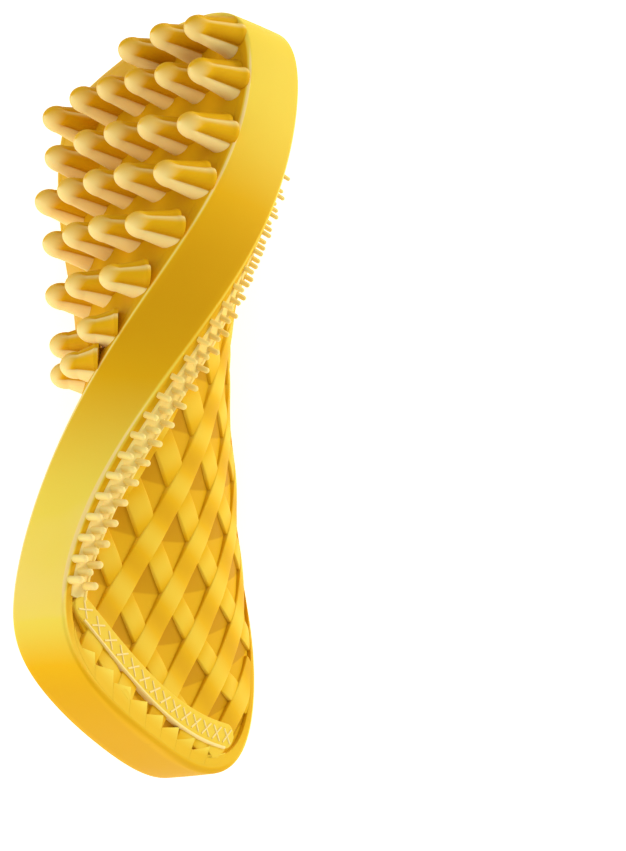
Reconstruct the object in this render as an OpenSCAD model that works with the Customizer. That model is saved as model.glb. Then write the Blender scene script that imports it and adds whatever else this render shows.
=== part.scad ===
// Pet grooming brush: one soft silicone moulding, a twisted grip plate held in the palm.
// +Y runs along the brush towards its tined head, +Z is up, and the brush rests on its long edge.

/* [Body] */
// Length of the brush from end to end
length = 160; // [140:1:180]
// Width of the plate at its two ends
width = 76; // [64:0.5:84]
// Thickness of the plate at its edge, at mid-length
edge_t = 15; // [11:0.5:18]
// Share of the edge thickness that is lost at the two ends
edge_thinning = 0.16; // [0:0.02:0.3]
// How square the end at the head is
head_square = 20; // [8:1:24]
// How square the end at the handle is
handle_square = 14; // [8:1:24]
// Roundness of the corners at the two ends
end_round = 2.4; // [2:0.1:3.4]
// Share of the width that is lost at the waist
waist = 0.246; // [0:0.01:0.35]
// Distance over which the waist fades out
waist_reach = 83; // [50:1:120]
// Height of the rounded swelling on each face
swell_h = 9.3; // [4:0.1:11]
// Distance over which the swelling fades out along the brush
swell_reach = 43; // [30:1:60]
// How far each face's swelling lies from mid-length
swell_shift = 15; // [0:1:25]
// Flatness of the swelling across the brush
swell_flat = 2.4; // [2:0.1:4]

/* [Twist] */
// Lean of the plate at mid-length, in degrees
twist_mid = -2.2; // [-8:0.2:8]
// Lean of the plate at its ends, in degrees
twist_end = 30.4; // [10:0.2:40]
// How much faster the twist runs near mid-length
twist_bow = 1.48; // [0:0.02:1.8]
// Extra twist close to mid-length
twist_core = 0.25; // [0:0.05:0.5]
// Sideways drift of each end against the twist
drift = 6; // [0:0.5:10]

/* [Side band] */
// Width of the plain band's land around each face
band_w = 3; // [2:0.25:4]
// Chamfer along the band's edges
band_edge = 0.8; // [0.3:0.1:1.2]

/* [Tines] */
// Greatest distance of a row's first tine from the long axis, across the brush
tine_edge = 28; // [24:0.5:28]
// How far a row runs towards the head for each millimetre across
tine_skew = 0.12; // [0:0.01:0.2]
// Lean of the tines towards the handle, in degrees
tine_lean = 8; // [0:1:15]
// Length of a tine at the head
tine_l = 11.5; // [8:0.5:14]
// How much shorter the tines are at mid-length
tine_short = 4; // [0:0.5:5]
// Radius of a tine at its base
tine_r = 4.5; // [3:0.1:4.6]
// Radius of a tine's round tip
tine_tip_r = 3; // [2:0.1:3.6]

/* [Bristles] */
// Distance between bristles along the ledge
bristle_pitch = 4.8; // [4:0.1:6]
// Length of a bristle at the handle end of its ledge
bristle_l = 3.4; // [2.5:0.1:5]
// Share of a bristle's size that is lost at the head end of its ledge
bristle_taper = 0.5; // [0:0.05:0.6]
// Radius of a bristle
bristle_r = 0.85; // [0.6:0.05:1]
// Width of the ledge that carries the bristles
ledge_w = 3.2; // [2.5:0.1:6]

/* [Grip lattice] */
// Depth of the pits between the lattice strips
pit_d = 1.5; // [1:0.25:3]
// Width of a strip of the first set
strip_w1 = 5; // [2.5:0.1:6]
// Width of a strip of the second set
strip_w2 = 5.3; // [2.5:0.1:6]

/* [Rib and teeth] */
// Width of the raised rib
rib_w = 5; // [3:0.25:6]
// Height of the raised rib above the face
rib_h = 0.3; // [0.3:0.1:2]
// Number of raised crosses along the rib
crosses = 14; // [8:1:16]
// Number of saw teeth along the end
teeth = 9; // [6:1:10]
// How far a tooth reaches in from the band
tooth_l = 2.6; // [2:0.1:5]

/* [Hidden] */
SILICONE = [0.93, 0.70, 0.13];
FRONT = 1;          // the face with the tines
BACK = -1;          // the face with the palm lattice
STATIONS = 56;      // steps along the brush
ACROSS = 10;        // steps across a face
SINK = 0.6;         // how far a tine or bristle is let into its face
rest_h = 30.17;     // height of the long axis above the surface that the brush rests on
side_shift = 1.53;  // distance of the long axis from the middle of the brush's box, across
tine_y = [70.9, 60.8, 48, 36.4, 24.4, 12.5, 1.2, -6.5];     // where each tine row starts
tine_far = [5, -20.5, -15.5, -15.5, -4, 3, 10, 17];         // where it ends, across the brush
tine_drop = [0, 4, 2, 0.5, 0, 0, 0, 0];                     // how far its end turns to the handle
tine_count = [3, 6, 5, 5, 4, 3, 2, 2];                      // how many tines it has
tine_last_y = 72;   // no tine stands closer to the head's end than this
strip_1 = [-11.2, -6.2];     // from one pit to the next along a strip of the first set
strip_2 = [2.0, -13.0];      // the same along a strip of the second set
strip_origin = [-1.6, -58.8];    // the middle of one pit, across and along the face
strip_bow = [0.0054, 0.009];     // how the lattice curves across and along the face
ledge_from = -60;
ledge_to = 46;
$fn = 32;

// ---- the twisted plate, as functions of the place a across it and y along it

function part_of(y) = y / (length / 2);
function twist(y) = let (t = part_of(y), f = 1 - t * t)
    twist_mid + twist_end * t * (1 + twist_bow * f + twist_core * f * f);
function half_w(y) = let (t = min(1, abs(part_of(y))), square = y < 0 ? handle_square : head_square)
    width / 2 * pow(1 - pow(t, square), 1 / end_round) * (1 - waist * exp(-pow(y / waist_reach, 2)));
function swell(y, side) = swell_h * exp(-pow((y - side * swell_shift) / swell_reach, 2));
function half_t(a, y, side) = let (t = part_of(y), v = min(1, abs(a) / max(0.1, half_w(y))))
    edge_t / 2 * (1 - edge_thinning * t * t) + swell(y, side) * (1 - pow(v, swell_flat));
function across(y) = [sin(twist(y)), 0, cos(twist(y))];
function outward(y) = [-cos(twist(y)), 0, sin(twist(y))];
function long_axis(y) = [side_shift - drift * part_of(y), y, rest_h];
// A point on a face, or h above it
function on_face(a, y, side, h = 0) =
    long_axis(y) + a * across(y) + side * (half_t(a, y, side) + h) * outward(y);

// Steps along the brush, closer together towards its ends
function station(i) = length / 2 * 0.9999 * sin(90 * (2 * i / STATIONS - 1));
inner_along = 1 - 2 * band_w / length;
inner_across = 1 - 2 * band_w / width;
// Half the width that the band leaves free
function inner_w(y) = half_w(y / inner_along) * inner_across;
// The floor of the lattice: all of the back, and the front's handle half
function floor_d(y, side) = side == BACK ? pit_d : pit_d * min(1, max(0, (-4 - y) / 8));

// ---- solids swept along a list of rings with the same number of points

function ring_faces(rings, per, closed) = [
    for (i = [0 : rings - (closed ? 1 : 2)], k = [0 : per - 1])
        let (j = (i + 1) % rings, m = (k + 1) % per)
        each [[i * per + k, i * per + m, j * per + m], [i * per + k, j * per + m, j * per + k]]
];
function cap_faces(rings, per) = [
    [for (k = [per - 1 : -1 : 0]) k],
    [for (k = [0 : per - 1]) (rings - 1) * per + k]
];
module sweep(rings, closed = false) {
    per = len(rings[0]);
    count = len(rings);
    polyhedron(
        points = [for (r = rings) each r],
        faces = concat(ring_faces(count, per, closed), closed ? [] : cap_faces(count, per)),
        convexity = 10);
}
// A strip lying on a face along a path of [a, y] places, from height h0 to h1
module strip(path, side, w, h0, h1) {
    last = len(path) - 1;
    sweep([for (i = [0 : last])
        let (
            d = path[min(last, i + 1)] - path[max(0, i - 1)],
            e = w / 2 / norm(d) * [-d[1], d[0]],
            l = path[i] + e,
            r = path[i] - e)
        side == BACK
            ? [on_face(l[0], l[1], side, h0), on_face(l[0], l[1], side, h1),
               on_face(r[0], r[1], side, h1), on_face(r[0], r[1], side, h0)]
            : [on_face(r[0], r[1], side, h0), on_face(r[0], r[1], side, h1),
               on_face(l[0], l[1], side, h1), on_face(l[0], l[1], side, h0)]]);
}
// Children stand on a face with +Z pointing out of it, leaning along the brush
module stand_on(a, y, side, lean = 0, h = 0) {
    translate(on_face(a, y, side, h))
        rotate([0, twist(y) - 90 + (side == BACK ? 180 : 0), 0])
            rotate([-lean, 0, 0])
                children();
}

// ---- body

module core() {
    color(SILICONE)
        sweep([for (i = [0 : STATIONS])
            let (y = station(i) * inner_along, w = inner_w(y))
            [
                for (k = [0 : ACROSS])
                    on_face(w * (1 - 2 * k / ACROSS), y, FRONT, -floor_d(y, FRONT)),
                for (k = [0 : ACROSS])
                    on_face(w * (2 * k / ACROSS - 1), y, BACK, -floor_d(y, BACK))
            ]]);
}

// One cross-section of the band, for one edge of the plate
function band_section(i, edge) =
    let (
        y = station(i),
        w = half_w(y),
        y_in = y * inner_along,
        y_mid = y * (1 - 2 * band_edge / length),
        w_mid = w * (1 - 2 * band_edge / width))
    [
        on_face(edge * w * inner_across, y_in, FRONT),
        on_face(edge * w_mid, y_mid, FRONT),
        on_face(edge * w, y, FRONT, -band_edge),
        on_face(edge * w, y, BACK, -band_edge),
        on_face(edge * w_mid, y_mid, BACK),
        on_face(edge * w * inner_across, y_in, BACK)
    ];

module side_band() {
    color(SILICONE)
        sweep([
            for (i = [0 : STATIONS]) band_section(i, 1),
            for (i = [STATIONS : -1 : 0]) band_section(i, -1)
        ], closed = true);
}

// ---- tines

function tine_length(y) = tine_l - tine_short * min(1, max(0, (30 - y) / 30));

module tine(l) {
    taper = l - tine_tip_r;
    translate([0, 0, -SINK]) cylinder(h = taper + SINK, r1 = tine_r, r2 = tine_tip_r);
    translate([0, 0, taper]) sphere(r = tine_tip_r);
}

module tine_row(j) {
    y0 = tine_y[j - 1];
    near = min(tine_edge, inner_w(y0) - 1.2);
    step = (near - tine_far[j - 1]) / (tine_count[j - 1] - 1);
    color(SILICONE)
        for (i = [0 : tine_count[j - 1] - 1])
            let (
                turned = tine_drop[j - 1] * pow(i / (tine_count[j - 1] - 1), 6),
                y = min(tine_last_y, y0 + tine_skew * step * i) - turned)
            stand_on(near - step * i, y, FRONT, -tine_lean) tine(tine_length(y));
}

module tine_row_1() tine_row(1);
module tine_row_2() tine_row(2);
module tine_row_3() tine_row(3);
module tine_row_4() tine_row(4);
module tine_row_5() tine_row(5);
module tine_row_6() tine_row(6);
module tine_row_7() tine_row(7);
module tine_row_8() tine_row(8);

// ---- bristles on their ledge, along the back's upper edge

// Bristles get smaller towards the head, and lean towards the handle
function bristle_size(y) = 1 - bristle_taper * (y - ledge_from) / (ledge_to - ledge_from);
function bristle_lean(y) = -8 - 12 * exp(-pow(y / 30, 2));

module bristle_ledge() {
    color(SILICONE)
        strip([for (y = [ledge_to : -4 : ledge_from]) [inner_w(y) - ledge_w / 2, y]],
            BACK, ledge_w, -pit_d, 0.2);
}

module bristle() {
    translate([0, 0, -SINK]) cylinder(h = bristle_l - bristle_r + SINK, r = bristle_r);
    translate([0, 0, bristle_l - bristle_r]) sphere(r = bristle_r);
}

module bristle_column(offset_a, offset_y) {
    color(SILICONE)
        for (y = [ledge_to - 2 - offset_y : -bristle_pitch : ledge_from + 2])
            stand_on(inner_w(y) + offset_a, y, BACK, bristle_lean(y), 0.2)
                scale(bristle_size(y)) bristle();
}

module bristles_inner() bristle_column(-2.5, 0);
module bristles_middle() bristle_column(-0.7, bristle_pitch / 2);
module bristles_outer() bristle_column(1.1, 0);

// ---- grip lattice: two sets of strips that cross, one lying over the other

// The line along the handle end that the saw teeth rise from, where the lattice ends
function tooth_y(a) = -76.3 + 2.2 * pow((a + 7) / 22, 2);

// A place on the curved lattice, from the same place on a straight one
function bowed(q) = let (d = q[1] + 40)
    q + [strip_bow[0] * d * d / sqrt(1 + pow(d / 50, 4)), strip_bow[1] * q[0] * q[0]];
function is_ledge(a, y, side) = side == BACK && a > 0 && y > ledge_from - 2 && y < ledge_to + 2;
function in_lattice(p, side, y_max) =
    p[1] < y_max
    && abs(p[1]) < length / 2 - band_w - 3.5
    && (side == FRONT || p[1] > tooth_y(p[0]) + 2)
    && abs(p[0]) < inner_w(p[1]) - 2.5 - (is_ledge(p[0], p[1], side) ? ledge_w : 0);

module lattice_set(side, y_max, along, between, w, h0, h1) {
    color(SILICONE)
        for (k = [-12 : 12])
            let (
                start = strip_origin + (k + 0.5) * between,
                path = [for (m = [-12 : 0.5 : 12])
                    let (q = start + m * along, p = bowed(q))
                    if (abs(q[0]) < 55 && in_lattice(p, side, y_max)) p])
            if (len(path) > 1) strip(path, side, w, h0, h1);
}

module palm_lattice_lower() lattice_set(BACK, 76, strip_1, strip_2, strip_w1, -pit_d, -pit_d / 2);
module palm_lattice_upper() lattice_set(BACK, 76, strip_2, strip_1, strip_w2, -pit_d / 2, 0);
module handle_lattice_lower() lattice_set(FRONT, -14, strip_1, strip_2, strip_w1, -pit_d, -pit_d / 2);
module handle_lattice_upper() lattice_set(FRONT, -14, strip_2, strip_1, strip_w2, -pit_d / 2, 0);

// ---- raised rib with its row of crosses, across the back of the handle end

function rib_y(a) = -71 + 9.6 * pow((a + 8) / 35, 2);
rib_path = [for (a = [28 : -3 : -26]) [a, rib_y(a)]];

module grip_rib() {
    color(SILICONE) strip(rib_path, BACK, rib_w, 0, rib_h);
}

module rib_bead() {
    color(SILICONE)
        strip([for (p = rib_path) p - [0, rib_w / 2 + 0.5]], BACK, 1, 0, rib_h + 0.4);
}

module rib_cross() {
    for (turn = [45, 135])
        rotate([0, 0, turn]) translate([-1.8, -0.3, 0]) cube([3.6, 0.6, 0.4]);
}

module rib_crosses() {
    color(SILICONE)
        for (i = [0 : crosses - 1])
            let (a = 26.5 - 50 * i / (crosses - 1))
            stand_on(a, rib_y(a), BACK, 0, rib_h) rib_cross();
}

// ---- saw teeth inside the band at the handle end

module edge_teeth() {
    pitch = 54 / teeth;
    color(SILICONE)
        for (i = [0 : teeth - 1])
            let (
                a0 = 29 - pitch * i,
                a1 = a0 - pitch + 0.3,
                y0 = tooth_y(a0),
                y1 = tooth_y(a1),
                corners = [[a0, y0 - 1.4], [a1, y1 - 1.4], [a1, y1 + tooth_l], [a0, y0]])
            sweep([for (h = [-pit_d, 0]) [for (c = corners) on_face(c[0], c[1], BACK, h)]]);
}

core();
side_band();
tine_row_1();
tine_row_2();
tine_row_3();
tine_row_4();
tine_row_5();
tine_row_6();
tine_row_7();
tine_row_8();
bristle_ledge();
bristles_inner();
bristles_middle();
bristles_outer();
palm_lattice_lower();
palm_lattice_upper();
handle_lattice_lower();
handle_lattice_upper();
grip_rib();
rib_bead();
rib_crosses();
edge_teeth();
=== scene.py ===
import math

import bmesh
import bpy
import numpy as np
from mathutils import Matrix, Vector


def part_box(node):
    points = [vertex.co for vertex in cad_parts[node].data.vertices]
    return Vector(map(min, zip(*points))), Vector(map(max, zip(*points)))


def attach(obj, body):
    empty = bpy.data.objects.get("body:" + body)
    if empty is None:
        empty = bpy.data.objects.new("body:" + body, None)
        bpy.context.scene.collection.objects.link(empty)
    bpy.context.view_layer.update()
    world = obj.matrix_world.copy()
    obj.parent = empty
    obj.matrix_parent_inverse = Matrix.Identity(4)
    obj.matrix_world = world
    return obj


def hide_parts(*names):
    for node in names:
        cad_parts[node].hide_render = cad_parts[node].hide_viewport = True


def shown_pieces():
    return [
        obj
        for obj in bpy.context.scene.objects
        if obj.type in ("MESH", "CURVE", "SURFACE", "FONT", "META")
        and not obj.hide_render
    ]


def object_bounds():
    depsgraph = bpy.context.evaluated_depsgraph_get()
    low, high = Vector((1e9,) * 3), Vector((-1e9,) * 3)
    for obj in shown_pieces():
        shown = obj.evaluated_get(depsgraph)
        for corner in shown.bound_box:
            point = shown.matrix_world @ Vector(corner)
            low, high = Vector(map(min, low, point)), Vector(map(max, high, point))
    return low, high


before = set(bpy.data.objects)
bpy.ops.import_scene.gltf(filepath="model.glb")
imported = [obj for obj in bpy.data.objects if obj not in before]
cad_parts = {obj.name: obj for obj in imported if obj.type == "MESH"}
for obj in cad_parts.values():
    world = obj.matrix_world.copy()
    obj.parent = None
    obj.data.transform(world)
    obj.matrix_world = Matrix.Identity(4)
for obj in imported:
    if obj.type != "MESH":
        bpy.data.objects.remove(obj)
CAD_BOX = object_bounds()

# ---- driving sizes in millimetres, the same ones that shape the CAD plate

MM = 0.001
BAND_LO, BAND_HI = (np.array(corner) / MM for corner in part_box("side_band"))
LENGTH = BAND_HI[1] - BAND_LO[1]
WIDTH = 76.0
EDGE_T, EDGE_THINNING = 15.0, 0.16
HEAD_SQUARE, HANDLE_SQUARE, END_ROUND = 20.0, 14.0, 2.4
WAIST, WAIST_REACH = 0.246, 83.0
SWELL_H, SWELL_REACH, SWELL_SHIFT, SWELL_FLAT = 9.3, 43.0, 15.0, 2.4
TWIST_MID, TWIST_END, TWIST_BOW, TWIST_CORE = -2.2, 30.4, 1.48, 0.25
DRIFT, REST_H, SIDE_SHIFT = 6.0, 30.17, 1.53
BAND_W = 3.0
FRONT, BACK = 1, -1

TINE_Y = [70.9, 60.8, 48, 36.4, 24.4, 12.5, 1.2, -6.5]
TINE_FAR = [5, -20.5, -15.5, -15.5, -4, 3, 10, 17]
TINE_DROP = [0, 4, 2, 0.5, 0, 0, 0, 0]
TINE_COUNT = [3, 6, 5, 5, 4, 3, 2, 2]
TINE_EDGE, TINE_SKEW, TINE_LEAN, TINE_LAST_Y = 28.0, 0.12, -8.0, 72.0
TINE_L, TINE_SHORT, TINE_R, TINE_TIP_R = 11.5, 4.0, 4.5, 3.0
GROOVE = 0.3                # share of a tine's radius that its grooves take

BRISTLE_PITCH, BRISTLE_L, BRISTLE_R, BRISTLE_TAPER = 4.8, 3.4, 0.85, 0.5
LEDGE_W, LEDGE_FROM, LEDGE_TO = 3.2, -60.0, 46.0

PIT_D = 1.0                 # depth of a pit at its crease
SOLID_D = 2.4               # depth down to which strips and pit floors are solid
STRIP_1, STRIP_2 = np.array([-11.2, -6.2]), np.array([2.0, -13.0])
STRIP_ORIGIN, STRIP_BOW = np.array([-1.6, -58.8]), np.array([0.0054, 0.009])
STRIP_W1, STRIP_W2 = 5.0, 5.3
LATTICE_REACH = 55.0        # past this place across, the curved lattice would fold over itself
PALM_TOP = 78.0             # where the lattice on the back ends
HANDLE_TOP = -14.0          # where the lattice on the front of the handle half ends

RIB_W, RIB_H, CROSSES = 5.0, 0.3, 14
RIB_START, RIB_END = 29.0, -26.0
TEETH, TOOTH_L, TEETH_START, TEETH_SPAN = 9, 2.6, 29.0, 54.0


# ---- the twisted plate: a is the place across it and y the place along it

def part_of(y):
    return y / (LENGTH / 2)


def twist(y):
    t = part_of(y)
    f = 1 - t * t
    return np.radians(TWIST_MID + TWIST_END * t * (1 + TWIST_BOW * f + TWIST_CORE * f * f))


def half_w(y):
    t = np.minimum(1, np.abs(part_of(y)))
    end = (1 - t ** np.where(y < 0, HANDLE_SQUARE, HEAD_SQUARE)) ** (1 / END_ROUND)
    return WIDTH / 2 * end * (1 - WAIST * np.exp(-((y / WAIST_REACH) ** 2)))


def inner_w(y):
    """Half the width that the band leaves free."""
    return half_w(y / (1 - 2 * BAND_W / LENGTH)) * (1 - 2 * BAND_W / WIDTH)


def half_t(a, y, side):
    t = part_of(y)
    v = np.minimum(1, np.abs(a) / np.maximum(0.1, half_w(y)))
    swell = SWELL_H * np.exp(-(((y - side * SWELL_SHIFT) / SWELL_REACH) ** 2))
    return EDGE_T / 2 * (1 - EDGE_THINNING * t * t) + swell * (1 - v ** SWELL_FLAT)


def across(y):
    th = twist(y)
    return np.stack([np.sin(th), 0 * th, np.cos(th)], -1)


def outward(y):
    th = twist(y)
    return np.stack([-np.cos(th), 0 * th, np.sin(th)], -1)


def on_face(a, y, side, h=0.0):
    """The point at (a, y) on a face, or h above it, in millimetres."""
    a, y, h = np.broadcast_arrays(np.asarray(a, float), np.asarray(y, float), np.asarray(h, float))
    axis = np.stack([SIDE_SHIFT - DRIFT * part_of(y), y, REST_H + 0 * y], -1)
    lift = side * (half_t(a, y, side) + h)
    return axis + a[..., None] * across(y) + lift[..., None] * outward(y)


def stand_frame(a, y, side, lean=0.0, h=0.0):
    """Origin and three axes for a peg on a face: across, along and out, leaning along the brush."""
    out, along = side * outward(y), np.array([0.0, 1.0, 0.0])
    c, s = math.cos(math.radians(lean)), math.sin(math.radians(lean))
    return on_face(a, y, side, h), side * across(y), c * along - s * out, c * out + s * along


# ---- meshes

def make_piece(name, verts, faces, stands_for=(), sharp=38):
    """A smooth-shaded piece from points in millimetres, riding on the brush's one body."""
    mesh = bpy.data.meshes.new(name)
    mesh.from_pydata([tuple(v) for v in np.asarray(verts) * MM], [], faces)
    bm = bmesh.new()
    bm.from_mesh(mesh)
    bmesh.ops.recalc_face_normals(bm, faces=bm.faces)
    bm.to_mesh(mesh)
    bm.free()
    mesh.shade_smooth()
    mesh.set_sharp_from_angle(angle=math.radians(sharp))
    piece = bpy.data.objects.new(name, mesh)
    bpy.context.scene.collection.objects.link(piece)
    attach(piece, "root")
    if stands_for:
        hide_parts(*stands_for)
    return piece


def sweep_faces(rings, per, closed=False, start=0):
    """Quads between rings that follow each other, and two caps unless the sweep closes on itself."""
    faces = []
    for i in range(rings if closed else rings - 1):
        j = (i + 1) % rings
        for k in range(per):
            m = (k + 1) % per
            quad = (i * per + k, i * per + m, j * per + m, j * per + k)
            faces.append(tuple(start + corner for corner in quad))
    if not closed:
        faces.append(tuple(start + k for k in range(per)))
        faces.append(tuple(start + (rings - 1) * per + k for k in range(per)))
    return faces


class Solids:
    """Collects separate closed solids that become one piece."""

    def __init__(self):
        self.verts, self.faces, self.shades, self.count = [], [], [], 0

    def add(self, rings, closed=False, shade=None):
        rings = np.asarray(rings)
        n, per = rings.shape[:2]
        self.faces += sweep_faces(n, per, closed, self.count)
        self.verts.append(rings.reshape(-1, 3))
        self.shades.append(np.zeros(n * per) if shade is None else np.asarray(shade).reshape(-1))
        self.count += n * per

    def piece(self, name, stands_for=(), sharp=38):
        made = make_piece(name, np.concatenate(self.verts), self.faces, stands_for, sharp)
        pale = made.data.attributes.new("pale", "FLOAT", "POINT")
        pale.data.foreach_set("value", np.concatenate(self.shades).astype(np.float32))
        return made


def arc(cx, cy, r, start, end, steps):
    """Points of an arc, in degrees."""
    turn = np.radians(np.linspace(start, end, steps))
    return np.stack([cx + r * np.cos(turn), cy + r * np.sin(turn)], -1)


# ---- body

def outline(steps):
    """Evenly spaced places along one edge of the plate, from end to end."""
    bend = np.cos(np.linspace(0, math.pi / 2, 6000))
    y = np.concatenate([-bend ** (2 / HANDLE_SQUARE), bend[::-1] ** (2 / HEAD_SQUARE)]) * LENGTH / 2
    w = half_w(y)
    run = np.concatenate([[0], np.cumsum(np.hypot(np.diff(y), np.diff(w)))])
    return np.interp(np.linspace(0, run[-1], steps), run, y)


def smooth(x):
    x = np.clip(x, 0, 1)
    return x * x * (3 - 2 * x)


def side_band():
    """The plain band: a rounded section swept once round the plate."""
    edge = arc(0.7, -0.7, 0.7, 180, 90, 7)
    lip = arc(BAND_W - 0.2, -0.2, 0.2, 90, 0, 3)
    profile = np.concatenate([edge, [[1.2, 0.0], [2.0, 0.0]], lip, [[BAND_W, -SOLID_D - 0.6]]])
    # A painted highlight, brightest on the middle of each rounded edge.
    glint = np.array([0, 0.2, 0.9, 1.3, 0.9, 0.2, 0])
    stations = outline(420)
    ys = np.concatenate([stations, stations[::-1][1:-1]])
    sign = np.concatenate([np.ones(420), -np.ones(418)])[:, None]

    def land(side):
        d, h = profile[:, 0], profile[:, 1]
        a = sign * half_w(ys)[:, None] * (1 - 2 * d / WIDTH)
        return on_face(a, ys[:, None] * (1 - 2 * d / LENGTH), side, h)

    top, bottom = land(FRONT), land(BACK)
    steps = np.arange(1, 10)[None, :, None] / 10
    normal = (sign * across(ys) * np.minimum(1, half_w(ys)[:, None] / 12))[:, None]
    wall = top[:, :1] + (bottom[:, :1] - top[:, :1]) * steps + normal * 0.15 * np.sin(math.pi * steps)
    rings = np.concatenate([top[:, ::-1], wall, bottom], 1)
    # The wall's tone is painted light and shade: deepest near mid-length, pale towards both ends, and
    # painted deeper again round the handle's foot.
    tone = -0.3 + 0.95 * smooth((ys - 14) / 50) + 1.15 * smooth((10 - ys) / 55)
    tone = tone - 1.2 * smooth((-ys - 64) / 16)
    # The painted highlight along the edges fades out at both ends, and is faint on the far side.
    bright = (1 - smooth((-ys - 52) / 12)) * (1 - smooth((ys - 50) / 25))
    bright = bright * np.where(sign[:, 0] > 0, 1.0, 0.2)
    glint = bright[:, None] * glint
    # The land is painted lighter round the handle's foot: painted light, to match the lit wall there.
    flat = np.repeat(-0.15 + 0.3 * smooth((-ys[:, None] - 62) / 10), 6, 1)
    edge_tone = np.clip(tone[:, None], -0.2, 1)
    shade = np.concatenate([flat, edge_tone + glint[:, ::-1], np.repeat(tone[:, None], 9, 1),
                            edge_tone + 0.6 * glint, flat], 1)
    solids = Solids()
    solids.add(rings, closed=True, shade=shade)
    return solids.piece("band", ["side_band"])


def core():
    """The plate inside the band: the tine floor in front, and the sunken floor under the lattices."""
    ys = (outline(260) * (1 - 2 * BAND_W / LENGTH))[:, None]
    v = np.linspace(-1, 1, 44)
    w = inner_w(ys) + 0.6
    sunk = np.clip((HANDLE_TOP + 3.2 - ys) / 0.8, 0, 1)
    front = on_face(w * v[::-1], ys, FRONT, -0.04 - (SOLID_D - 0.04) * sunk)
    back = on_face(w * v, ys, BACK, -SOLID_D + 1.5 * smooth((np.abs(v) - 0.88) / 0.04))
    solids = Solids()
    solids.add(np.concatenate([front, back], 1), shade=np.full((260, 88), -0.15))
    return solids.piece("core_plate", ["core"], sharp=50)


# ---- tines

def tine_places(row):
    y0 = TINE_Y[row]
    near = min(TINE_EDGE, inner_w(y0) - 1.2)
    last = TINE_COUNT[row] - 1
    step = (near - TINE_FAR[row]) / last
    places = []
    for i in range(last + 1):
        turned = TINE_DROP[row] * (i / last) ** 6
        places.append((near - step * i, min(TINE_LAST_Y, y0 + TINE_SKEW * step * i) - turned))
    return places


def add_tine(solids, a, y):
    """A finger with four lobes whose grooves run out below its smooth round tip."""
    origin, ax, ay, az = stand_frame(a, y, FRONT, TINE_LEAN)
    length = TINE_L - TINE_SHORT * min(1, max(0, (30 - y) / 30))
    dome = 1.3 * TINE_TIP_R
    taper = length - dome
    z = np.linspace(-0.8, taper, 24)
    r = TINE_R + (TINE_TIP_R - TINE_R) * np.maximum(0, z) / taper + 0.3 * np.exp(-np.maximum(0, z) / 0.5)
    turn = np.radians(np.linspace(8, 86, 10))
    z = np.concatenate([z, taper + dome * np.sin(turn)])[:, None]
    r = np.concatenate([r, TINE_TIP_R * np.cos(turn)])[:, None]
    fade = smooth((length - 1.0 - z) / (0.4 * length))
    phi = np.linspace(0, 2 * math.pi, 72, endpoint=False)
    lobes = np.abs(np.cos(2 * phi)) ** 0.7
    radius = r * (1 - GROOVE * fade * (1 - lobes))
    rings = (origin + (radius * np.cos(phi))[..., None] * ax + (radius * np.sin(phi))[..., None] * ay
             + (z + 0 * phi)[..., None] * az)
    turn = (np.degrees(phi) + 180) % 360 - 180
    # Painted light and shade round the tine: a pale lit lobe below, a painted dark groove, a painted
    # highlight on the crest and a painted shaded top.
    painted_shading = np.interp(turn, [-180, -137, -133, -60, -48, -44, -20, 5, 20, 35, 60, 90, 180],
                      [0.1, 0.1, 0.8, 1.1, 1.0, -0.7, -0.2, 0.1, 0.75, 0.2, -0.1, -0.5, -0.1])
    # Towards the tip the painted light is brightest on the lower side; tines towards the head are a little
    # darker.
    shade = fade * painted_shading + (1 - fade) * (0.5 - 0.45 * np.sin(phi)) - 0.2 * smooth((y - 45) / 20)
    solids.add(rings, shade=shade)


def tine_row(row):
    solids = Solids()
    for a, y in tine_places(row):
        add_tine(solids, a, y)
    return solids.piece(f"tines_{row + 1}", [f"tine_row_{row + 1}"], sharp=50)


# ---- ledge and bristles

def inside_band(a, y):
    """Keeps a place from running out through the band."""
    y = np.clip(y, -LENGTH / 2 + BAND_W - 0.8, LENGTH / 2 - BAND_W + 0.8)
    return np.clip(a, -inner_w(y) - 0.8, inner_w(y) + 0.8), y


def strip_rings(path, side, w, top, r=0.4, crown=0.0, bottom=SOLID_D):
    """Rings of a strip that lies on a face along a path of (a, y), with rounded upper edges."""
    path = np.asarray(path, float)
    d = np.gradient(path, axis=0)
    normal = np.stack([-d[:, 1], d[:, 0]], -1) / np.linalg.norm(d, axis=1)[:, None]
    half = w / 2
    flat = [(x, crown * (1 - (x / half) ** 2)) for x in np.linspace(-half + r, half - r, 7)[1:-1]]
    section = np.array([(-half, -bottom), *arc(-half + r, -r, r, 180, 90, 5), *flat,
                        *arc(half - r, -r, r, 90, 0, 5), (half, -bottom)])
    e, k = section[:, 0], section[:, 1]
    h = k + np.broadcast_to(top, len(path))[:, None] * (k > -bottom)
    a, y = inside_band(path[:, :1] + normal[:, :1] * e, path[:, 1:] + normal[:, 1:] * e)
    return on_face(a, y, side, h)


def bristle_ledge():
    """The flat strip under the bristles, with a fine raised line along its inner side."""
    ys = np.linspace(LEDGE_TO, LEDGE_FROM, 120)
    slab, border = Solids(), Solids()
    rings = strip_rings(np.stack([inner_w(ys) - LEDGE_W / 2 + 0.3, ys], -1), BACK, LEDGE_W + 0.6, 0.2)
    slab.add(rings, shade=np.repeat(0.6 + 0.3 * smooth(-ys / 40), rings.shape[1]))
    rings = strip_rings(np.stack([inner_w(ys) - LEDGE_W + 0.3, ys], -1), BACK, 0.6, 0.5, r=0.28)
    border.add(rings, shade=np.full(rings.shape[:2], 0.7))
    slab.piece("ledge", ["bristle_ledge"])
    border.piece("ledge_border")


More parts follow.
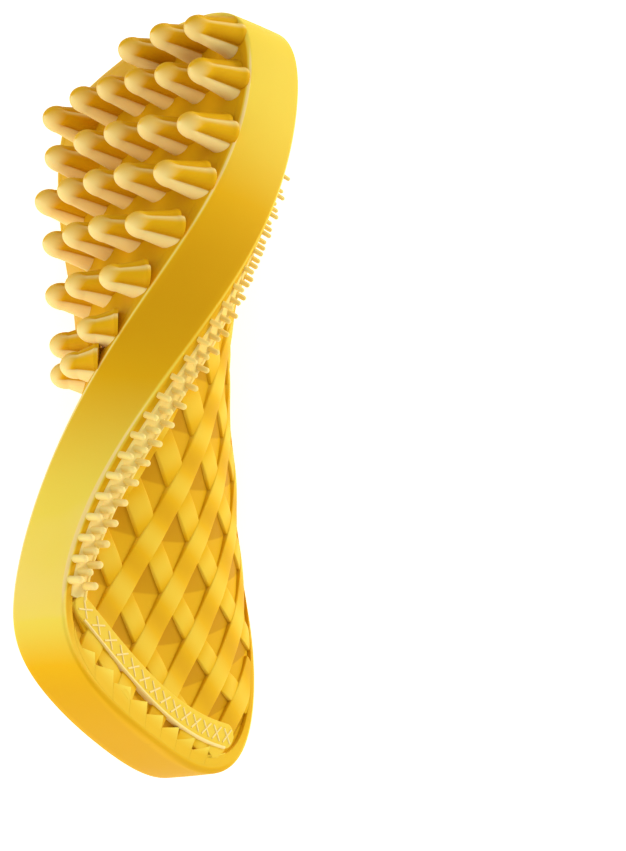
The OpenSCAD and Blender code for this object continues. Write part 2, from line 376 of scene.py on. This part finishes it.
def bristle_column(name, stands_for, offset_a, offset_y):
    """Bristles that get smaller towards the head and slant most near mid-length."""
    solids = Solids()
    phi = np.linspace(0, 2 * math.pi, 18, endpoint=False)
    turn = np.radians([20, 40, 58, 72, 84])
    shaft = BRISTLE_L - BRISTLE_R
    z = np.concatenate([np.linspace(-0.6, shaft, 6), shaft + BRISTLE_R * np.sin(turn)])
    r = BRISTLE_R * np.concatenate([np.linspace(1.06, 0.98, 6), np.cos(turn)])
    y = LEDGE_TO - 2 - offset_y
    while y >= LEDGE_FROM + 2:
        lean = -8 - 12 * math.exp(-((y / 30) ** 2))
        origin, ax, ay, az = stand_frame(inner_w(y) + offset_a, y, BACK, lean, 0.2)
        size = 1 - BRISTLE_TAPER * (y - LEDGE_FROM) / (LEDGE_TO - LEDGE_FROM)
        ring = np.cos(phi)[:, None] * ax + np.sin(phi)[:, None] * ay
        rings = origin + size * (r[:, None, None] * ring[None] + z[:, None, None] * az)
        tone = 0.45 + 0.3 * smooth((10 - y) / 50) + 0.2 * np.maximum(0, z) / BRISTLE_L
        solids.add(rings, shade=np.repeat(tone, len(phi)))
        y -= BRISTLE_PITCH
    return solids.piece(name, stands_for, sharp=60)


# ---- lattice

def bowed(place):
    """A place on the curved lattice, from the same place on a straight one."""
    a, y = place
    d = y + 40
    return np.array([a + STRIP_BOW[0] * d * d / np.sqrt(1 + (d / 50) ** 4), y + STRIP_BOW[1] * a * a])


def in_lattice(place, side, y_max, margin):
    """Whether a place lies in the lattice's field, which runs under the band by the margin."""
    a, y = place
    ledge = LEDGE_W - 0.8 if side == BACK and a > 0 and LEDGE_FROM - 1 < y < LEDGE_TO + 1 else 0
    if abs(y) > LENGTH / 2 - BAND_W + margin or y > y_max:
        return False
    if side == BACK and y < tooth_y(a) - margin:
        return False
    return abs(a) < inner_w(min(76.0, max(-76.0, y))) - ledge + margin


def runs(points, keep):
    """Splits a list of points into the stretches that are kept."""
    stretch, out = [], []
    for p in points:
        if keep(p):
            stretch.append(p)
        elif stretch:
            out.append(stretch)
            stretch = []
    return [s for s in out + [stretch] if len(s) > 6]


def strips(name, stands_for, side, y_max, along, between, w, height, tone):
    """One set of parallel strips; their height, and their tone of painted highlight and painted shade,
    follow the place along them, in pitches.
    """
    solids = Solids()
    for k in range(-12, 13):
        start = STRIP_ORIGIN + (k + 0.5) * between
        line = [(m / 24, start + m / 24 * along) for m in range(-12 * 24, 12 * 24 + 1)]
        line = [(m, bowed(place)) for m, place in line if abs(place[0]) < LATTICE_REACH]
        for run in runs(line, lambda item: in_lattice(item[1], side, y_max, 0.8)):
            m = np.array([item[0] for item in run])
            rings = strip_rings([item[1] for item in run], side, w, height(m), r=0.3, crown=0.12)
            solids.add(rings, shade=np.repeat(tone(m), rings.shape[1]))
    return solids.piece(name, stands_for)


def over(m):
    """The upper strips rise a little where they cross the lower ones."""
    return -0.08 - 0.08 * np.cos(2 * math.pi * m)


# Painted highlight where the upper strip rises, painted shade where it sinks.
def over_painted_shading(m):
    return 0.05 - 0.3 * np.cos(2 * math.pi * m)


def under(m):
    """The lower strips arch up between the upper ones and dive beneath them."""
    return -0.26 + 0.16 * np.cos(2 * math.pi * m)


# Painted highlight where the lower strip arches up, painted shade where it dives.
def under_painted_shading(m):
    return 0.3 * np.cos(2 * math.pi * m)


def pit_floors(name, side, y_max):
    """A V-shaped floor in each pit: two slopes that meet in a crease."""
    solids = Solids()
    down, right = (STRIP_1 + STRIP_2) / 2, (STRIP_1 - STRIP_2) / 2
    corners = [0.8 * v for v in (down, -down, right, -right)]
    for i in range(-10, 11):
        for j in range(-10, 11):
            mid = STRIP_ORIGIN + i * STRIP_1 + j * STRIP_2
            seen = any(in_lattice(bowed(mid + c), side, y_max + 3, 0.4) for c in corners)
            if abs(mid[0]) > LATTICE_REACH or not seen:
                continue
            # s runs down the pit and c across it; the first six of c lie on the floor, the others below it.
            s = np.concatenate([np.linspace(-0.97, -0.02, 9), np.linspace(0.02, 0.97, 9)])[:, None]
            c = np.array([-1, -0.6, -0.2, 0.2, 0.6, 1.0, 1.0, 0.6, 0.2, -0.2, -0.6, -1])
            level = np.where(np.arange(12) < 6, -PIT_D + (PIT_D - 0.3) * np.abs(s), -SOLID_D - 0.3)
            reach = (0.98 - np.abs(s)) * c
            a, y = mid[0] + s * down[0] + reach * right[0], mid[1] + s * down[1] + reach * right[1]
            a, y = inside_band(*bowed((a, y)))
            # Painted shade: the upper slope of each pit is painted darker than the lower one, darkest at
            # its top corner.
            tone = np.where(s < 0, -0.6 + 0.4 * s, -0.2 + 0.2 * s) + 0 * c
            solids.add(on_face(a, y, side, level), shade=tone)
    return solids.piece(name, sharp=14)


def lattice(prefix, side, y_max):
    lower, upper = f"{prefix}_lattice_lower", f"{prefix}_lattice_upper"
    strips(f"{prefix}_strips_under", [lower], side, y_max, STRIP_1, STRIP_2, STRIP_W1, under, under_painted_shading)
    strips(f"{prefix}_strips_over", [upper], side, y_max, STRIP_2, STRIP_1, STRIP_W2, over, over_painted_shading)
    pit_floors(f"{prefix}_pit_floors", side, y_max)


# ---- rib with crosses, and saw teeth

def rib_y(a):
    return -71 + 9.6 * ((a + 8) / 35) ** 2


def rib():
    """A flat strap with rounded ends, and a fine bead along its outer edge."""
    a = np.linspace(RIB_START, RIB_END, 120)
    mid = np.stack([a, rib_y(a)], -1)
    near_end = np.minimum(np.abs(a - a[0]), np.abs(a - a[-1]))
    width = RIB_W * np.sqrt(np.clip(1 - (1 - np.minimum(1, near_end / 2.6)) ** 2, 0.02, 1))
    slab, bead = Solids(), Solids()
    slab_rings = []
    for k, w in enumerate(width):
        near = strip_rings(mid[max(0, k - 1):k + 2], BACK, w, RIB_H, r=min(0.3, w / 3))
        slab_rings.append(near[min(1, k)])
    slab.add(slab_rings, shade=np.full(np.asarray(slab_rings).shape[:2], 0.45))
    inner = slice(5, -5)
    rings = strip_rings(mid[inner] - [0, RIB_W / 2 - 0.1], BACK, 0.55, RIB_H + 0.3, r=0.26)
    bead.add(rings, shade=np.full(rings.shape[:2], 1.0))
    slab.piece("rib", ["grip_rib"])
    bead.piece("rib_bead_line", ["rib_bead"])


def rib_crosses():
    solids = Solids()
    for a in np.linspace(26.5, -23.5, CROSSES):
        slope = np.array([-1.0, -19.2 * (a + 8) / 35 ** 2])
        tangent = slope / np.linalg.norm(slope)
        side_way = np.array([-tangent[1], tangent[0]])
        for sign in (-1, 1):
            arm = (tangent + sign * side_way) / math.sqrt(2)
            line = np.array([a, rib_y(a)]) + arm * np.linspace(-1.9, 1.9, 9)[:, None]
            rings = strip_rings(line, BACK, 0.4, RIB_H + 0.2, r=0.18, bottom=0.5)
            solids.add(rings, shade=np.full(rings.shape[:2], 1.1))
    return solids.piece("crosses", ["rib_crosses"])


def tooth_y(a):
    return -76.3 + 2.2 * ((a + 7) / 22) ** 2


def edge_teeth():
    """A stair of saw teeth that grows out of the band, flush with its land."""
    solids = Solids()
    ys = np.linspace(-LENGTH / 2 + BAND_W + 0.01, -50, 3000)
    free = inner_w(ys)
    pitch = TEETH_SPAN / TEETH
    for i in range(TEETH):
        a0 = TEETH_START - pitch * i
        rings, shades = [], []
        for u in np.linspace(0, 1, 9):
            a = a0 - (pitch - 0.05) * u
            foot = np.interp(abs(a), free, ys)
            top = max(foot + 0.3, tooth_y(a) + TOOTH_L * u)
            # From under the band's land, over its edge and up to the tooth's own edge.
            y = np.array([foot - 2.2, foot - 2.2, foot - 1.8, foot, (foot + top) / 2, top - 0.15, top, top])
            h = np.array([-SOLID_D, -0.25, 0.03, 0.05, 0.08, 0.11, 0.0, -SOLID_D])
            rings.append(on_face(a, y, BACK, h))
            # Painted light: each tooth's face is painted brighter towards its tall end, the land beside it
            # lighter to match the lit wall, and the drop painted darker at its foot.
            shades.append([0.15] * 4 + [0.15 + 0.25 * u, 0.2 + 0.6 * u, 0.2 + 0.6 * u, -0.2])
        solids.add(rings, shade=shades)
    return solids.piece("teeth", ["edge_teeth"], sharp=25)


# ---- materials

# The ramp's dark end carries painted shade; its pale end carries painted highlights as well as the paler
# own colour of the ledge and bristles.
DEEP, GOLD, PALE = (0.46, 0.19, 0.001), (0.77, 0.42, 0.005), (0.87, 0.67, 0.08)
TINE_PALE, BRISTLE_PALE, CREAM = (0.90, 0.70, 0.26), (0.92, 0.73, 0.24), (0.95, 0.71, 0.26)


def silicone(name, lit_and_pale_colour):
    """Soft golden silicone: slow colour drift, moulded grain, and painted shade in the hollows and painted
    highlights on edges and lobes, from the pale attribute.
    """
    mat = bpy.data.materials.new(name)
    mat.use_nodes = True
    nodes, links = mat.node_tree.nodes, mat.node_tree.links
    shader = nodes["Principled BSDF"]
    place = nodes.new("ShaderNodeTexCoord")
    drift = nodes.new("ShaderNodeTexNoise")
    drift.inputs["Scale"].default_value = 28
    drift.inputs["Detail"].default_value = 2
    painted_light_and_tone = nodes.new("ShaderNodeAttribute")
    painted_light_and_tone.attribute_name = "pale"
    sum_up = nodes.new("ShaderNodeMath")
    sum_up.operation = "MULTIPLY_ADD"
    sum_up.inputs[1].default_value = 0.5
    spread = nodes.new("ShaderNodeMapRange")
    spread.inputs["To Min"].default_value = 0.42
    spread.inputs["To Max"].default_value = 0.56
    tone = nodes.new("ShaderNodeValToRGB")
    tone.color_ramp.elements[0].position = 0.0
    tone.color_ramp.elements[0].color = (*DEEP, 1)
    tone.color_ramp.elements[1].position = 1.0
    tone.color_ramp.elements[1].color = (*CREAM, 1)
    tone.color_ramp.elements.new(0.5).color = (*GOLD, 1)
    tone.color_ramp.elements.new(0.9).color = (*lit_and_pale_colour, 1)
    links.new(place.outputs["Object"], drift.inputs["Vector"])
    links.new(drift.outputs["Fac"], spread.inputs["Value"])
    links.new(painted_light_and_tone.outputs["Fac"], sum_up.inputs[0])
    links.new(spread.outputs["Result"], sum_up.inputs[2])
    links.new(sum_up.outputs["Value"], tone.inputs["Fac"])
    links.new(tone.outputs["Color"], shader.inputs["Base Color"])

    grain = nodes.new("ShaderNodeTexNoise")
    grain.inputs["Scale"].default_value = 2600
    grain.inputs["Detail"].default_value = 3
    bump = nodes.new("ShaderNodeBump")
    bump.inputs["Strength"].default_value = 0.06
    bump.inputs["Distance"].default_value = 0.0002
    rough = nodes.new("ShaderNodeMapRange")
    rough.inputs["To Min"].default_value = 0.46
    rough.inputs["To Max"].default_value = 0.56
    links.new(place.outputs["Object"], grain.inputs["Vector"])
    links.new(grain.outputs["Fac"], bump.inputs["Height"])
    links.new(bump.outputs["Normal"], shader.inputs["Normal"])
    links.new(drift.outputs["Fac"], rough.inputs["Value"])
    links.new(rough.outputs["Result"], shader.inputs["Roughness"])

    shader.inputs["Subsurface Weight"].default_value = 0.12
    shader.inputs["Subsurface Radius"].default_value = (1.0, 0.5, 0.12)
    shader.inputs["Subsurface Scale"].default_value = 0.002
    shader.inputs["Specular IOR Level"].default_value = 0.05
    return mat


def dress():
    """Every piece gets the silicone of its material slot."""
    slots = {
        "silicone_tines": ("tines_",),
        "silicone_bristles": ("bristle_col", "ledge"),
        "silicone_lattice": ("palm_", "handle_"),
        "silicone_details": ("rib", "crosses", "teeth"),
        "silicone_body": ("band", "core_plate"),
    }
    painted_light_and_tone = {"silicone_tines": TINE_PALE, "silicone_bristles": BRISTLE_PALE}
    mats = {slot: silicone(slot, painted_light_and_tone.get(slot, PALE)) for slot in slots}
    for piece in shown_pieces():
        for slot, starts in slots.items():
            if piece.name.startswith(starts):
                piece.data.materials.clear()
                piece.data.materials.append(mats[slot])


# ---- stage, light and camera

def floor():
    """A plain pale floor."""
    mesh = bpy.data.meshes.new("floor")
    corners = [(-6, -6, 0), (6, -6, 0), (6, 6, 0), (-6, 6, 0)]
    mesh.from_pydata(corners, [], [(0, 1, 2, 3)])
    obj = bpy.data.objects.new("floor", mesh)
    bpy.context.scene.collection.objects.link(obj)
    mat = bpy.data.materials.new("floor")
    mat.use_nodes = True
    shader = mat.node_tree.nodes["Principled BSDF"]
    shader.inputs["Base Color"].default_value = (0.92, 0.92, 0.92, 1)
    shader.inputs["Emission Color"].default_value = (1, 1, 1, 1)
    shader.inputs["Emission Strength"].default_value = 0.55
    shader.inputs["Roughness"].default_value = 0.9
    shader.inputs["Specular IOR Level"].default_value = 0.1
    mesh.materials.append(mat)


def area_light(name, place, target, size, power, colour=(1, 1, 1)):
    data = bpy.data.lights.new(name, "AREA")
    data.shape = "DISK"
    data.size = size
    data.energy = power
    data.color = colour
    obj = bpy.data.objects.new(name, data)
    obj.location = place
    obj.rotation_euler = (Vector(target) - Vector(place)).to_track_quat("-Z", "Y").to_euler()
    bpy.context.scene.collection.objects.link(obj)


def light():
    centre = (CAD_BOX[0] + CAD_BOX[1]) / 2
    area_light("key", centre + Vector((-0.46, -0.68, 0.40)), centre, 0.4, 2.8)
    area_light("side", centre + Vector((0.78, 0.45, 0.14)), centre, 0.3, 4.2)
    world = bpy.data.worlds.new("studio")
    world.use_nodes = True
    world.node_tree.nodes["Background"].inputs["Color"].default_value = (1, 1, 1, 1)
    world.node_tree.nodes["Background"].inputs["Strength"].default_value = 0.68
    bpy.context.scene.world = world


CAMERA_DISTANCE = 2.0       # metres; far away, because the photo shows almost no perspective
CAMERA_DROP = 23.3          # degrees that the camera leans from straight above towards the handle end
CAMERA_ROLL = 8.94          # degrees
VIEW_HEIGHT = 178.44        # millimetres seen from the top of the picture to its foot
AIM_RIGHT, AIM_UP = 32.95, -7.36    # where the picture's middle lies from the brush's long axis


def camera():
    drop, roll = math.radians(CAMERA_DROP), math.radians(CAMERA_ROLL)
    back = Vector((0, -math.sin(drop), math.cos(drop)))
    level, rise = Vector((1, 0, 0)), Vector((0, math.cos(drop), math.sin(drop)))
    right = math.cos(roll) * level + math.sin(roll) * rise
    up = -math.sin(roll) * level + math.cos(roll) * rise
    aim = Vector((SIDE_SHIFT, 0, REST_H)) + AIM_RIGHT * right + AIM_UP * up
    data = bpy.data.cameras.new("camera")
    data.sensor_width = 36
    data.lens = 36 * CAMERA_DISTANCE / (VIEW_HEIGHT * MM)
    data.clip_end = 20
    obj = bpy.data.objects.new("camera", data)
    turn = Matrix((right, up, back)).transposed().to_4x4()
    obj.matrix_world = Matrix.Translation(aim * MM + back * CAMERA_DISTANCE) @ turn
    bpy.context.scene.collection.objects.link(obj)
    bpy.context.scene.camera = obj


camera()
side_band()
core()
for number in range(len(TINE_Y)):
    tine_row(number)
bristle_ledge()
bristle_column("bristle_col_inner", ["bristles_inner"], -2.5, 0)
bristle_column("bristle_col_middle", ["bristles_middle"], -0.7, BRISTLE_PITCH / 2)
bristle_column("bristle_col_outer", ["bristles_outer"], 1.1, 0)
lattice("palm", BACK, PALM_TOP)
lattice("handle", FRONT, HANDLE_TOP)
rib()
rib_crosses()
edge_teeth()
dress()
floor()
light()
bpy.context.scene.view_settings.view_transform = "Standard"
